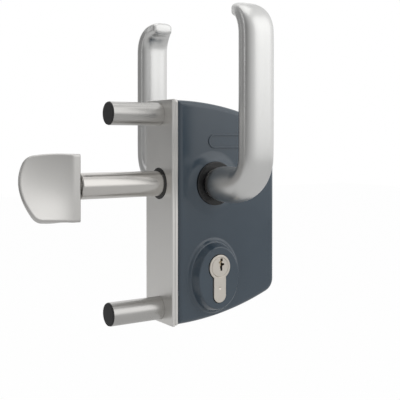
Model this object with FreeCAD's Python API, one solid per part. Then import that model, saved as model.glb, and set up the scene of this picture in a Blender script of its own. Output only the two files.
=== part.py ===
import FreeCAD, Part
import math
import os

# Gate lock with a turning hook bolt, a pair of lever handles and a profile cylinder.
# X = 0 is the mounting face of the plate, -X points to the hook.
# Y = 0 is the mid-plane, -Y the front. Z = 0 is the middle of the case's height. All in mm.

V = FreeCAD.Vector

# General clearances, and how far a cutting shape runs past the face that it opens
running_clearance = 0.05
side_play = 0.25
screw_clearance = 0.05
free_gap = 0.4
past = 1.0

# Plates
plate_thickness = 2.35
plate_width = 36.0
plate_corner = 2.5
plate_edge = 0.35
plate_overhang = 0.4

# Case
case_depth = 83.0
case_width = 36.0
case_wall = 2.6
case_curve = 207.0
case_corner = 10.0
case_rounding = 4.0

# Centre lines of handle and cylinder
backset = 33.0
handle_below_top = 57.6
handle_to_cylinder = 57.4
cylinder_above_end = 38.6

# Raised ring round the handle
ring_radius = 15.6
ring_rise = 2.5
ring_foot = 22.5
ring_lip = 0.2
ring_edge = 0.3
ring_blend_share = 0.84

# Capsule frame on the front, left bare
badge_left = 29.3
badge_length = 33.0
badge_width = 9.8
badge_above_handle = 29.2
badge_rim = 1.1
badge_rise = 0.6

# Oval boss round the cylinder
oval_half_width = 16.5
oval_half_height = 21.4
oval_centre_drop = 7.6
oval_rise = 8.0
oval_draft = 2.4
oval_ledge = 0.7
oval_foot = 2.6
oval_ledge_rise = 1.8
oval_ledge_slope = 0.2
oval_edge = 0.5
oval_edge_grow = 0.15
oval_waist_share = 0.45
oval_waist_rise_share = 0.3

# Profile cylinder
profile_radius = 8.5
profile_stem = 10.0
profile_height = 33.0
cylinder_half_length = 27.0
profile_clearance = 0.4
cylinder_chamfer = 0.35
plug_radius = 6.7
plug_chamfer = 0.3
plug_gap = 0.2
plug_nose_radius = 4.9
cam_width = 9.8
cam_slot_width = 10.2
cam_slot_radius = 15.6
cam_ring_radius = 8.2
cam_reach = 15.0
cam_nose_radius = 2.8
cam_neck = 4.4
cam_swing = 60.0
key_slot_depth = 18.0
key_slot_height = 8.6
key_slot_foot = -2.6
punch_radius = 1.1
punch_depth = 0.5
punch_drop = 14.2
cylinder_screw_radius = 2.5
cylinder_screw_drop = 20.0
cylinder_screw_length = 35.0
cylinder_screw_head = 4.4

# Handle follower, spindle and collars
spindle_side = 8.0
spindle_half_length = 45.0
spindle_clearance = 0.05
spindle_chamfer = 0.6
journal_radius = 10.0
follower_hub_radius = 7.2
follower_half_length = 17.5
lock_disc_radius = 15.0
lock_disc_thickness = 2.4
notch_width = 6.6
notch_depth = 4.0
collar_radius = 12.0
collar_flange_radius = 15.1
collar_flange_thickness = 1.9
collar_edge = 0.6

# Bevel pair
gear_teeth = 16
gear_module = 1.4
gear_face = 4.5
gear_backlash = 0.22
gear_rim = 0.6
pinion_hub_radius = 9.0
pinion_pin_radius = 1.25
pinion_pin_inset = 2.4
pressure_angle = 20.0
gear_root_flank = 0.45
gear_tip_flank = 0.55
gear_overrun = 1.6
gear_toe_plane = 0.8
gear_heel_plane = 1.15

# Hook bolt
shaft_radius = 8.7
shaft_reach = 60.6
shaft_chamfer = 0.7
shaft_end_gap = 0.8
journal_inner_radius = 6.0
stud_radius = 5.0
stud_head_depth = 9.5
stud_shaft_depth = 24.0
head_gap = 1.1
head_length = 38.9
head_half_height = 22.0
head_drop = 0.6
head_nose_radius = 31.0
head_thickness = 16.0
head_flat = 5.0
head_edge = 2.4
head_twist_degrees = 18.0
head_corner = 3.0
head_hollow = 1.8
head_rounding = 0.9
head_corner_start = 0.3
head_nose_edge = 0.35
head_blade_stations = (0.03, 0.08, 0.14, 0.22, 0.3, 0.4, 0.5)
head_nose_stations = (1.0, 0.93, 0.84, 0.72, 0.58, 0.43, 0.28, 0.14, 0.05)
lock_screw_radius = 2.5
lock_screw_back = 8.6
lock_screw_sink = 0.6
lock_screw_socket = 1.3
lock_screw_socket_depth = 1.6

# Bearings of the hook bolt
bush_wall = 2.2
bush_flange = 2.0
bracket_thickness = 2.5
bracket_web = 12.2
bracket_half_height = 17.0
bracket_foot = 9.0
bracket_half_width = 11.0
bracket_bush_wall = 1.8
bracket_bush_flange = 1.0
bracket_bush_step = 1.2
rivet_radius = 2.0
rivet_head_radius = 3.4
rivet_head_thickness = 1.2
rivet_dome_share = 0.8

# Deadlock slide
slide_thickness = 2.5
slide_bar_left = 45.6
slide_bar_width = 8.0
slide_nose_width = 6.0
slide_engagement = 3.6
slide_arm_width = 7.0
slide_nose_length = 5.0
slide_tail = 2.0
slide_nose_chamfer = 0.8
slide_wall_gap = 0.3
fork_arm = 4.0
fork_half_depth = 4.5
fork_clearance = 0.4
guide_radius = 2.2
guide_head_radius = 3.8
guide_head_thickness = 1.2
guide_clearance = 0.2
guide_head_gap = 0.15
guide_spacing = 13.0

# Through fixings
fixing_from_end = 9.8
frame_depth = 38.2
sleeve_radius = 7.9
sleeve_neck_step = 0.3
fixing_bolt_radius = 4.0
fixing_head_radius = 6.5
fixing_head_height = 8.0
fixing_head_depth = 4.2
fixing_chamfer = 0.5
fixing_socket = 6.0
fixing_socket_depth = 4.0
cap_radius = 7.7
cap_edge_share = 0.6
cap_thickness = 1.1
cap_spigot_wall = 1.2
nut_block_depth = 10.0
nut_block_width = 18.0
nut_block_height = 11.0
nut_block_shift = 0.4
nut_block_chamfer = 0.8

# Screws that hold the case to its plate
case_screw_radius = 2.0
case_screw_head = 3.9
case_screw_length = 16.0
case_screw_spread_y = 22.6
case_screw_from_end = 21.8
case_screw_boss = 4.2

# Cross recess of a countersunk screw, as shares of its head
recess_mouth = 0.4
recess_foot = 0.1
recess_wing = 0.5
recess_half_slot = 0.1
recess_depth = 0.8

# Lever handles
neck_radius = 12.2
neck_gap = 0.2
grip_width = 22.5
grip_thickness = 15.5
grip_reach = 67.5
bend_inner = 7.5
bend_outer = 32.0
neck_corner_share = 0.97
grip_corner_share = 0.86
handle_rise = 119.8
tip_curl = 8.0
tip_rounding = 2.0
tip_length = 21.5
tip_thickness = 6.0
tip_narrowing = 0.74
tip_end_stations = ((0.375, 0.86), (0.75, 0.62), (1.0, 0.3))
handle_screw_radius = 3.0
handle_screw_length = 8.0
handle_screw_reach = 33.0
handle_screw_socket = 3.0
handle_screw_socket_depth = 2.5
neck_stations = 1
bend_stations = 8
tip_stations = 8

# Places that follow from the sizes above
half_root = math.sqrt(0.5)
plate_height = handle_below_top + handle_to_cylinder + cylinder_above_end
hub_height = plate_height / 2 - handle_below_top
cylinder_height = hub_height - handle_to_cylinder
badge_height = hub_height + badge_above_handle
case_back = 2 * plate_thickness
case_front = case_back + case_depth
case_half_width = case_width / 2
case_half_height = plate_height / 2 - plate_overhang
cavity_half_width = case_half_width - case_wall
ring_face = case_half_width + ring_rise
oval_face = case_half_width + oval_rise
oval_height = cylinder_height - oval_centre_drop
stem_centre_drop = profile_height - profile_radius - profile_stem / 2
neck_start = ring_face + collar_flange_thickness + neck_gap
head_back = -shaft_reach - head_gap
head_tip = head_back - head_length
fixing_spacing = plate_height - 2 * fixing_from_end
fixing_head_end = frame_depth - fixing_head_depth
fixing_seat = fixing_head_end - fixing_head_height

# Bevel gears: pitch cone, and where the pinion's hub ends
pitch_radius = gear_teeth * gear_module / 2
cone_distance = pitch_radius * math.sqrt(2)
toe_share = (cone_distance - gear_face) / cone_distance
addendum = gear_module
dedendum = 1.25 * gear_module
pinion_hub_end = backset - bracket_web - bracket_thickness - side_play
pinion_pin_x = backset - pinion_hub_end + pinion_pin_inset

# Deadlock slide: its stroke is the height that the cam's nose gains
cam_nose_reach = cam_reach - cam_nose_radius
slide_travel = 2 * cam_nose_reach * math.sin(math.radians(cam_swing / 2))
slide_bar_right = slide_bar_left + slide_bar_width
slide_face = -cavity_half_width + slide_wall_gap
slide_nose_top = hub_height - lock_disc_radius + slide_engagement - slide_travel
fork_half = cam_nose_radius + fork_clearance
fork_centre = cylinder_height - slide_travel / 2
fork_low = fork_centre - fork_half - fork_arm
fork_top = fork_centre + fork_half + fork_arm
guide_x = (slide_bar_left + slide_bar_right) / 2
guide_low = fork_top + slide_travel + guide_head_radius + free_gap
slot_half = guide_radius + guide_clearance
slot_low = guide_low - slide_travel - guide_clearance
slot_top = guide_low + guide_spacing


def box(x0, x1, y0, y1, z0, z1):
    return Part.makeBox(x1 - x0, y1 - y0, z1 - z0, V(x0, y0, z0))


def rod_x(x0, x1, radius, y=0.0, z=0.0):
    return Part.makeCylinder(radius, x1 - x0, V(x0, y, z), V(1, 0, 0))


def rod_y(y0, y1, radius, x, z):
    return Part.makeCylinder(radius, y1 - y0, V(x, y0, z), V(0, 1, 0))


def rod_z(z0, z1, radius, x, y):
    return Part.makeCylinder(radius, z1 - z0, V(x, y, z0), V(0, 0, 1))


def cone_x(x0, x1, radius0, radius1, y=0.0, z=0.0):
    return Part.makeCone(radius0, radius1, x1 - x0, V(x0, y, z), V(1, 0, 0))


def arc(a, b, c):
    return Part.Arc(a, b, c).toShape()


def line(a, b):
    return Part.LineSegment(a, b).toShape()


def polygon(points):
    return Part.makePolygon(points + [points[0]])


def prism(points, direction):
    return Part.Face(polygon(points)).extrude(direction)


def mirrored_y(shape):
    return shape.mirror(V(0, 0, 0), V(0, 1, 0))


def save(name, *solids):
    shape = solids[0] if len(solids) == 1 else Part.makeCompound(list(solids))
    shape.exportStep("parts/" + name + ".step")


# Outline of the case

def case_outline(inset, start_x):
    """Wire in the XZ plane: curved top and bottom, straight front edge, rounded corners."""
    curve_centre = case_half_height - case_curve
    curve = case_curve - inset
    corner = case_corner - inset
    right = case_front - inset
    corner_x = right - corner
    corner_z = curve_centre + math.sqrt((curve - corner) ** 2 - (corner_x - case_back) ** 2)
    lean = math.atan2(corner_x - case_back, corner_z - curve_centre)

    def on_curve(angle):
        return case_back + curve * math.sin(angle), curve_centre + curve * math.cos(angle)

    def on_corner(angle):
        return corner_x + corner * math.sin(angle), corner_z + corner * math.cos(angle)

    quarter = math.pi / 2
    top = [on_curve(0), on_curve(lean / 2), on_curve(lean)]
    round_corner = [on_corner(lean), on_corner((lean + quarter) / 2), on_corner(quarter)]
    edges = []
    if start_x < case_back:
        edges.append(line(V(start_x, 0, top[0][1]), V(case_back, 0, top[0][1])))
        edges.append(line(V(start_x, 0, -top[0][1]), V(case_back, 0, -top[0][1])))
    for three in (top, round_corner):
        edges.append(arc(*[V(x, 0, z) for x, z in three]))
        edges.append(arc(*[V(x, 0, -z) for x, z in three]))
    edges.append(line(V(right, 0, corner_z), V(right, 0, -corner_z)))
    edges.append(line(V(start_x, 0, top[0][1]), V(start_x, 0, -top[0][1])))
    return Part.Wire(Part.__sortEdges__(edges))


def case_prism(inset, start_x, half_width):
    face = Part.Face(case_outline(inset, start_x))
    face.translate(V(0, -half_width, 0))
    return face.extrude(V(0, 2 * half_width, 0))


def ellipse_wire(half_width, half_height, y):
    centre = V(backset, y, oval_height)
    tall = V(backset, y, oval_height + half_height)
    wide = V(backset + half_width, y, oval_height)
    return Part.Wire(Part.Ellipse(tall, wide, centre).toShape())


def oval_boss():
    """Front boss round the cylinder: a flared foot, a ledge and a drafted wall with a soft edge."""
    base = case_half_width
    ledge_out = oval_draft + oval_ledge
    stations = [
        (ledge_out + oval_foot, -case_wall / 2),
        (ledge_out + oval_foot, 0.0),
        (ledge_out + oval_foot * oval_waist_share, oval_ledge_rise * oval_waist_rise_share),
        (ledge_out, oval_ledge_rise),
        (oval_draft, oval_ledge_rise + oval_ledge_slope),
        (oval_edge_grow, oval_rise - oval_edge),
        (-oval_edge, oval_rise),
    ]
    boss = None
    for (grow0, rise0), (grow1, rise1) in zip(stations, stations[1:]):
        wires = [
            ellipse_wire(oval_half_width + grow0, oval_half_height + grow0, -(base + rise0)),
            ellipse_wire(oval_half_width + grow1, oval_half_height + grow1, -(base + rise1)),
        ]
        layer = Part.makeLoft(wires, True, True)
        boss = layer if boss is None else boss.fuse(layer)
    limit = case_prism(0.0, case_back, oval_face + past)
    return boss.removeSplitter().common(limit)


def ring_boss():
    """Low ring round the handle, blended into the case with a wide hollow curve."""
    face = case_half_width
    blend_end = ring_rise * ring_blend_share
    lip = ring_radius + ring_lip
    run = ring_foot - lip
    blend = (run ** 2 + blend_end ** 2) / (2 * blend_end)
    half_turn = math.asin(run / blend) / 2
    mid = (ring_foot - blend * math.sin(half_turn), face + blend * (1 - math.cos(half_turn)))

    def at(radius, depth):
        return V(backset + radius, -depth, hub_height)

    edges = [
        line(at(0, face - past), at(ring_foot, face - past)),
        line(at(ring_foot, face - past), at(ring_foot, face)),
        arc(at(ring_foot, face), at(*mid), at(lip, face + blend_end)),
        line(at(lip, face + blend_end), at(ring_radius - ring_edge, ring_face)),
        line(at(ring_radius - ring_edge, ring_face), at(0, ring_face)),
        line(at(0, ring_face), at(0, face - past)),
    ]
    profile = Part.Face(Part.Wire(edges))
    return profile.revolve(V(backset, 0, hub_height), V(0, 1, 0), 360)


def capsule(length, width, x0, y0, y1, z):
    radius = width / 2
    middle = box(x0 + radius, x0 + length - radius, y0, y1, z - radius, z + radius)
    left = rod_y(y0, y1, radius, x0 + radius, z)
    right = rod_y(y0, y1, radius, x0 + length - radius, z)
    return middle.fuse([left, right]).removeSplitter()


def euro_profile(grow, y0, y1):
    stem = profile_stem / 2 + grow
    low = cylinder_height - stem_centre_drop
    round_top = rod_y(y0, y1, profile_radius + grow, backset, cylinder_height)
    web = box(backset - stem, backset + stem, y0, y1, low, cylinder_height)
    round_low = rod_y(y0, y1, stem, backset, low)
    return round_top.fuse([web, round_low]).removeSplitter()


def case_screw_places():
    height = plate_height / 2 - case_screw_from_end
    for side in (-1, 1):
        for z in (-height, height):
            yield side * case_screw_spread_y / 2, z


def lock_case():
    shell = case_prism(0.0, case_back, case_half_width)
    rims = [e for e in shell.Edges if abs(abs(e.CenterOfMass.y) - case_half_width) < 0.01]
    shell = shell.makeFillet(case_rounding, rims)
    oval = oval_boss()
    ring = ring_boss()
    frame_outer = capsule(
        badge_length, badge_width, badge_left,
        -case_half_width - badge_rise, -case_half_width + case_wall / 2, badge_height,
    )
    frame_inner = capsule(
        badge_length - 2 * badge_rim, badge_width - 2 * badge_rim, badge_left + badge_rim,
        -case_half_width - badge_rise - past, -case_half_width, badge_height,
    )
    shell = shell.fuse([oval, mirrored_y(oval), ring, mirrored_y(ring), frame_outer.cut(frame_inner)])
    shell = shell.cut(case_prism(case_wall, case_back - past, cavity_half_width))
    for y, z in case_screw_places():
        depth = case_back + case_screw_length + case_screw_boss / 2
        y_wall = math.copysign(cavity_half_width + case_wall / 2, y)
        column = rod_x(case_back, depth, case_screw_boss, y, z)
        half_web = case_screw_boss / 2
        web = box(case_back, depth, min(y, y_wall), max(y, y_wall), z - half_web, z + half_web)
        shell = shell.fuse(column.fuse(web))
        shell = shell.cut(rod_x(case_back - past, case_back + case_screw_length, case_screw_radius, y, z))
    shell = shell.cut(rod_y(-ring_face - past, ring_face + past, collar_radius, backset, hub_height))
    shell = shell.cut(euro_profile(profile_clearance, -oval_face - past, oval_face + past))
    return shell.removeSplitter()


# Plates and their fasteners

def plate(x0, corner, fixing_hole):
    """Plate with eased rims, a hole for the bolt's bush and two for the fixings."""
    half_width = plate_width / 2
    half_height = plate_height / 2
    x1 = x0 + plate_thickness
    body = box(x0, x1, -half_width, half_width, -half_height, half_height)
    if corner > 0:
        corners = [e for e in body.Edges if abs(abs(e.CenterOfMass.y) - half_width) < 0.01
                   and abs(abs(e.CenterOfMass.z) - half_height) < 0.01]
        body = body.makeFillet(corner, corners)
    rims = [e for e in body.Edges if min(abs(e.CenterOfMass.x - x0), abs(e.CenterOfMass.x - x1)) < 0.01]
    body = body.makeChamfer(plate_edge, rims)
    body = body.cut(rod_x(x0 - past, x1 + past, shaft_radius + bush_wall, 0, hub_height))
    for z in fixing_heights():
        body = body.cut(rod_x(x0 - past, x1 + past, fixing_hole, 0, z))
    return body


def countersunk(x_head, head_radius, radius, length, y, z):
    """Screw pointing along +X with its flat head face at x_head."""
    sink = head_radius - radius
    head = cone_x(x_head, x_head + sink, head_radius, radius, y, z)
    shank = rod_x(x_head + sink, x_head + length, radius, y, z)
    cone = cone_x(x_head, x_head + sink, head_radius * recess_mouth, head_radius * recess_foot, y, z)
    wing = head_radius * recess_wing
    half = head_radius * recess_half_slot
    depth = sink * recess_depth
    slot_a = box(x_head, x_head + depth, y - wing, y + wing, z - half, z + half)
    slot_b = box(x_head, x_head + depth, y - half, y + half, z - wing, z + wing)
    return head.fuse(shank).cut(cone.fuse([slot_a, slot_b])).removeSplitter()


def sink_hole(x_head, head_radius, radius, y, z):
    sink = head_radius - radius
    head = cone_x(x_head, x_head + sink, head_radius + screw_clearance, radius + screw_clearance, y, z)
    through = rod_x(x_head - past, x_head + plate_thickness + past, radius + screw_clearance, y, z)
    return head.fuse(through)


def case_plate():
    body = plate(plate_thickness, plate_corner, fixing_bolt_radius + free_gap)
    for y, z in case_screw_places():
        body = body.cut(sink_hole(plate_thickness, case_screw_head, case_screw_radius, y, z))
    z = cylinder_height - cylinder_screw_drop
    body = body.cut(sink_hole(plate_thickness, cylinder_screw_head, cylinder_screw_radius, 0, z))
    for z in rivet_heights():
        body = body.cut(rod_x(plate_thickness - past, case_back + past, rivet_radius, 0, z))
        seat = rivet_head_radius - rivet_radius
        sunk = cone_x(plate_thickness, plate_thickness + seat, rivet_head_radius, rivet_radius, 0, z)
        body = body.cut(sunk)
    return body


def case_screws():
    return [
        countersunk(plate_thickness, case_screw_head, case_screw_radius, case_screw_length, y, z)
        for y, z in case_screw_places()
    ]


def rivet_heights():
    reach = bracket_half_height + bracket_thickness + bracket_foot / 2
    return (hub_height - reach, hub_height + reach)


def fixing_heights():
    return (-fixing_spacing / 2, fixing_spacing / 2)


def fixing_sleeve(z):
    """Sleeve through the frame; its neck passes the mounting plate and seats on the case's plate."""
    outer = rod_x(-frame_depth, 0, sleeve_radius, 0, z)
    neck = rod_x(0, plate_thickness, sleeve_radius - sleeve_neck_step, 0, z)
    head_bore = rod_x(-frame_depth - past, -fixing_seat, fixing_head_radius + 2 * screw_clearance, 0, z)
    shank_bore = rod_x(-fixing_seat - past, plate_thickness + past, fixing_bolt_radius + free_gap, 0, z)
    return outer.fuse(neck).cut(head_bore.fuse(shank_bore))


def hexagon_x(x0, x1, across, y, z):
    reach = across / math.sqrt(3)
    points = []
    for step in range(6):
        angle = math.radians(60 * step)
        points.append(V(x0, y + reach * math.cos(angle), z + reach * math.sin(angle)))
    return prism(points, V(x1 - x0, 0, 0))


def fixing_bolt(z):
    head = rod_x(-fixing_head_end, -fixing_seat, fixing_head_radius, 0, z)
    rim = [e for e in head.Edges if abs(e.CenterOfMass.x + fixing_head_end) < 0.01]
    shank = rod_x(-fixing_seat, case_back + nut_block_depth, fixing_bolt_radius, 0, z)
    socket = hexagon_x(-fixing_head_end - past, -fixing_head_end + fixing_socket_depth, fixing_socket, 0, z)
    return head.makeChamfer(fixing_chamfer, rim).fuse(shank).cut(socket)


def fixing_cap(z):
    """Push-in cap that closes the sleeve: a domed disc with a split spigot."""
    disc = rod_x(-frame_depth - cap_thickness, -frame_depth, cap_radius, 0, z)
    outer = [e for e in disc.Edges if abs(e.CenterOfMass.x + frame_depth + cap_thickness) < 0.01]
    disc = disc.makeFillet(cap_thickness * cap_edge_share, outer)
    end = -fixing_head_end - free_gap
    spigot = rod_x(-frame_depth, end, fixing_head_radius, 0, z)
    hollow = rod_x(-frame_depth, end + past, fixing_head_radius - cap_spigot_wall, 0, z)
    return disc.fuse(spigot.cut(hollow)).removeSplitter()


def nut_block(z):
    half = nut_block_height / 2
    centre = z - math.copysign(nut_block_shift, z)
    body = box(case_back, case_back + nut_block_depth, -nut_block_width / 2, nut_block_width / 2,
               centre - half, centre + half)
    edges = [e for e in body.Edges if abs(e.CenterOfMass.x - case_back - nut_block_depth) < 0.01]
    body = body.makeChamfer(nut_block_chamfer, edges)
    hole = rod_x(case_back - past, case_back + nut_block_depth + past, fixing_bolt_radius, 0, z)
    return body.cut(hole)


# Bearings of the hook bolt

def bolt_bush():
    body = rod_x(0, case_back, shaft_radius + bush_wall, 0, hub_height)
    flange = rod_x(case_back, case_back + bush_flange, shaft_radius + 2 * bush_wall, 0, hub_height)
    bore = rod_x(-past, case_back + bush_flange + past, shaft_radius + running_clearance, 0, hub_height)
    return body.fuse(flange).cut(bore).removeSplitter()


def bearing_bracket():
    """Hat-shaped strap behind the plate that carries the inner end of the hook bolt."""
    low = case_back
    web = bracket_web
    t = bracket_thickness
    h = bracket_half_height
    foot = h + t + bracket_foot
    points = [
        (low, -foot), (low, -h), (web, -h), (web, h), (low, h), (low, foot),
        (low + t, foot), (low + t, h + t), (web + t, h + t), (web + t, -h - t),
        (low + t, -h - t), (low + t, -foot),
    ]
    corners = [V(x, -bracket_half_width, hub_height + z) for x, z in points]
    body = prism(corners, V(0, 2 * bracket_half_width, 0))
    bends = [e for e in body.Edges if abs(e.CenterOfMass.x - web - t) < 0.01
             and abs(abs(e.CenterOfMass.z - hub_height) - h - t) < 0.01]
    body = body.makeFillet(t, bends)
    hole = rod_x(web - past, web + t + past, journal_inner_radius + bracket_bush_wall, 0, hub_height)
    body = body.cut(hole)
    for z in rivet_heights():
        body = body.cut(rod_x(low - past, low + t + past, rivet_radius, 0, z))
    return body


def bracket_rivet(z):
    start = plate_thickness
    seat = rivet_head_radius - rivet_radius
    sunk = cone_x(start, start + seat, rivet_head_radius, rivet_radius, 0, z)
    end = case_back + bracket_thickness
    shank = rod_x(start + seat, end, rivet_radius, 0, z)
    dome = rod_x(end, end + rivet_head_thickness, rivet_head_radius, 0, z)
    top = [e for e in dome.Edges if abs(e.CenterOfMass.x - end - rivet_head_thickness) < 0.01]
    dome = dome.makeFillet(rivet_head_thickness * rivet_dome_share, top)
    return sunk.fuse([shank, dome]).removeSplitter()


def bracket_bush():
    outer = journal_inner_radius + bracket_bush_wall
    end = bracket_web + bracket_thickness
    start = bracket_web - bracket_bush_flange
    body = rod_x(bracket_web, end, outer, 0, hub_height)
    flange = rod_x(start, bracket_web, outer + bracket_bush_step, 0, hub_height)
    bore = rod_x(start - past, end + past, journal_inner_radius + running_clearance, 0, hub_height)
    return body.fuse(flange).cut(bore).removeSplitter()


# Bevel pair: both gears share an apex on the handle's axis

def tooth_half_angle(height):
    """Half the angle of a tooth at a height above the pitch cone, from the back cone's involute."""
    back_radius = cone_distance
    base_radius = back_radius * math.cos(math.radians(pressure_angle))
    radius = max(back_radius + height, base_radius)
    pressure = math.acos(base_radius / radius)
    involute = math.tan(pressure) - pressure
    pitch = math.radians(pressure_angle)
    pitch_involute = math.tan(pitch) - pitch
    virtual_teeth = gear_teeth * math.sqrt(2)
    half = math.pi / (2 * virtual_teeth) + pitch_involute - involute
    thickness = radius * half - gear_backlash / 2
    return thickness / (pitch_radius + height * half_root)


def bevel_gear(bore, back_radius, back_end, phase):
    """Gear with its apex at the origin and its axis along +Z, teeth facing the apex."""
    heel_tip = (pitch_radius + addendum * half_root, pitch_radius - addendum * half_root)
    toe_tip = (heel_tip[0] * toe_share, heel_tip[1] * toe_share)
    heel_root = (pitch_radius - dedendum * half_root, pitch_radius + dedendum * half_root)
    toe_root = (heel_root[0] * toe_share, heel_root[1] * toe_share)
    rim = (heel_root[0] + gear_rim, heel_root[1] - gear_rim)
    profile = [
        (bore, toe_root[1]), toe_root, toe_tip, heel_tip, rim,
        (rim[0] - gear_rim / 2, rim[1] + gear_rim), (back_radius, rim[1] + 1.5 * gear_rim),
        (back_radius, back_end), (bore, back_end),
    ]
    points = [V(radius, 0, height) for radius, height in profile]
    blank = Part.Face(polygon(points)).revolve(V(0, 0, 0), V(0, 0, 1), 360)
    heights = [-dedendum, -dedendum * gear_root_flank, 0.0, addendum * gear_tip_flank,
               addendum * gear_overrun]
    cutters = []
    for tooth in range(gear_teeth):
        centre = 2 * math.pi * (tooth + phase) / gear_teeth
        wires = []
        for plane in (toe_tip[1] * gear_toe_plane, heel_root[1] * gear_heel_plane):
            left = []
            right = []
            for height in heights:
                radius = pitch_radius + height * half_root
                level = pitch_radius - height * half_root
                reach = radius * plane / level
                half = math.pi / gear_teeth - tooth_half_angle(height)
                left.append(V(reach * math.cos(centre - half), reach * math.sin(centre - half), plane))
                right.append(V(reach * math.cos(centre + half), reach * math.sin(centre + half), plane))
            wires.append(polygon(left + right[::-1]))
        cutters.append(Part.makeLoft(wires, True, True))
    return blank.cut(cutters)


def gear_to(shape, direction):
    """Turns a gear built along +Z so that its axis points along a row axis, apex on the hub."""
    placed = shape.copy()
    if direction == "-X":
        placed.rotate(V(0, 0, 0), V(0, 1, 0), -90)
    else:
        placed.rotate(V(0, 0, 0), V(1, 0, 0), -90)
    placed.translate(V(backset, 0, hub_height))
    return placed


def bolt_pinion():
    """Bevel pinion on the hook bolt; a space between teeth faces the front."""
    gear = bevel_gear(journal_inner_radius, pinion_hub_radius, pinion_hub_end, 0.5)
    placed = gear_to(gear, "-X")
    return placed.cut(pinion_pin(past))


def bolt_shaft():
    """Round bolt with a stepped inner end and a threaded socket for the hook's stud."""
    toe = backset - (pitch_radius - dedendum * half_root) * toe_share
    step = bracket_web - bracket_bush_flange - side_play
    outer = rod_x(-shaft_reach, step, shaft_radius, 0, hub_height)
    ends = [e for e in outer.Edges if abs(e.CenterOfMass.x + shaft_reach) < 0.01]
    outer = outer.makeChamfer(shaft_chamfer, ends)
    end = min(toe, backset - follower_hub_radius - free_gap) - shaft_end_gap
    inner = rod_x(step, end, journal_inner_radius, 0, hub_height)
    shaft = outer.fuse(inner)
    socket = rod_x(-shaft_reach - past, -shaft_reach + stud_shaft_depth + past, stud_radius, 0, hub_height)
    screw_x = -shaft_reach + lock_screw_back
    shaft = shaft.cut(socket.fuse(rod_y(0, shaft_radius + past, lock_screw_radius, screw_x, hub_height)))
    return shaft.cut(pinion_pin(past))


def pinion_pin(extra):
    """Cross pin through the pinion's hub and the shaft, longer by extra at each end."""
    reach = pinion_hub_radius + extra
    return rod_z(hub_height - reach, hub_height + reach, pinion_pin_radius, pinion_pin_x, 0)


def lock_screw():
    x = -shaft_reach + lock_screw_back
    top = shaft_radius - lock_screw_sink
    body = rod_y(stud_radius, top, lock_screw_radius, x, hub_height)
    socket = rod_y(top - lock_screw_socket_depth, top + past, lock_screw_socket, x, hub_height)
    return body.cut(socket)


def head_stud():
    start = head_back - stud_head_depth
    end = -shaft_reach + stud_shaft_depth
    return rod_x(start, end, stud_radius, 0, hub_height)


def blade_section(x, half_height, thickness, twist):
    """Flat section of the hook's blade with rounded rims, turned about the bolt's axis."""
    half = thickness / 2
    rounding = min(head_rounding, half * 0.9, half_height * 0.9)
    turn = math.radians(twist)

    def at(y, z):
        return V(x, y * math.cos(turn) + z * math.sin(turn),
                 hub_height - head_drop - y * math.sin(turn) + z * math.cos(turn))

    flat_y = half - rounding
    flat_z = half_height - rounding
    bulge = rounding * half_root
    edges = []
    quarters = ((1, 1), (-1, 1), (-1, -1), (1, -1))
    for index, (sy, sz) in enumerate(quarters):
        side = at(sy * half, sz * flat_z)
        end = at(sy * flat_y, sz * half_height)
        middle = at(sy * (flat_y + bulge), sz * (flat_z + bulge))
        next_y, next_z = quarters[(index + 1) % 4]
        if index % 2 == 0:
            edges.append(arc(side, middle, end))
            edges.append(line(end, at(next_y * flat_y, next_z * half_height)))
        else:
            edges.append(arc(end, middle, side))
            edges.append(line(side, at(next_y * half, next_z * flat_z)))
    return Part.Wire(edges)


def blade_thickness(share):
    return head_edge + (head_thickness - head_edge) * (1 - share) ** head_hollow


def blade_twist(share):
    return head_twist_degrees * (1 - (1 - share) ** head_hollow)


def hook_head():
    """D-shaped hook: flat hooking edge at the back, blade thinning and twisting to the nose."""
    flat_end = head_back - head_flat
    nose_x = head_tip + head_nose_radius
    shoulder_turn = math.asin((head_half_height - head_corner * head_corner_start) / head_nose_radius)
    shoulder = nose_x - head_nose_radius * math.cos(shoulder_turn)
    blade_run = flat_end - head_tip
    rounding = head_rounding
    soft = rounding * (1 - half_root)
    stations = [
        (head_back, head_half_height - rounding, head_thickness - 2 * rounding, 0.0),
        (head_back - soft, head_half_height - soft, head_thickness - 2 * soft, 0.0),
        (head_back - rounding, head_half_height, head_thickness, 0.0),
        (flat_end, head_half_height, head_thickness, 0.0),
    ]
    corner_start = shoulder + head_corner
    for share in head_blade_stations:
        x = flat_end - share * blade_run
        stations.append((x, head_half_height, blade_thickness(share), blade_twist(share)))
    share = (flat_end - corner_start) / blade_run
    stations.append((corner_start, head_half_height, blade_thickness(share), blade_twist(share)))
    for part_turn in head_nose_stations:
        turn = shoulder_turn * part_turn
        x = nose_x - head_nose_radius * math.cos(turn)
        share = min((flat_end - x) / blade_run, 1.0)
        edge = min(1.0, head_nose_edge + (x - head_tip) / head_rounding * (1 - head_nose_edge))
        thickness = blade_thickness(share) * edge
        stations.append((x, head_nose_radius * math.sin(turn), thickness, blade_twist(share)))
    head = Part.makeLoft([blade_section(*station) for station in stations], True, True)
    socket = rod_x(head_back - stud_head_depth - free_gap, head_back + past, stud_radius, 0, hub_height)
    return head.cut(socket)


# Handle follower, spindle, collars and levers

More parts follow.
